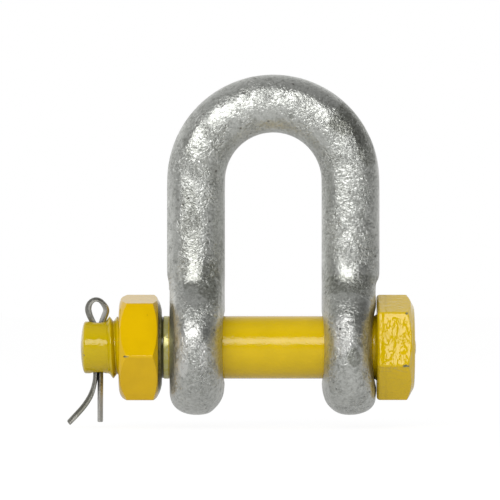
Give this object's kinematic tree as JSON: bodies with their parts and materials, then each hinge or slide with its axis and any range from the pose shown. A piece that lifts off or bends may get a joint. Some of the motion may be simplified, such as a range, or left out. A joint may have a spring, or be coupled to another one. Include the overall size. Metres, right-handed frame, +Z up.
{
  "type": "dee shackle",
  "caption": "Bolt-type dee shackle: galvanised forged bow-topped body, yellow hex bolt through both eyes, hex nut and split pin.",
  "frame": {"origin": "on the bolt's axis, midway between the two eyes", "axes": "+X along the bolt to its head, +Z up the legs to the bow, Y through the flat of the shackle"},
  "size_m": [0.1143, 0.0442, 0.1148],
  "materials": {
    "galvanised": "hot-dip galvanised, dull and slightly rough",
    "yellow_paint": "semi-gloss yellow paint over steel",
    "pin_steel": "plain grey steel wire"
  },
  "bodies": {
    "body": {"shackle_body": "galvanised"},
    "bolt": {"bolt": "yellow_paint"},
    "nut": {"nut": "yellow_paint"},
    "split_pin": {"split_pin": "pin_steel"}
  },
  "joints": [
    {"name": "bolt_turn", "type": "hinge", "parent": "body", "child": "bolt", "pos_m": [0, 0, 0], "axis": [1, 0, 0], "continuous": true},
    {"name": "nut_turn", "type": "hinge", "parent": "bolt", "child": "nut", "pos_m": [-0.043, 0, 0], "axis": [-1, 0, 0], "range_deg": [0, 420]},
    {"name": "split_pin_turn", "type": "hinge", "parent": "bolt", "child": "split_pin", "pos_m": [-0.0573, 0, 0], "axis": [0, 0, 1], "continuous": true}
  ]
}
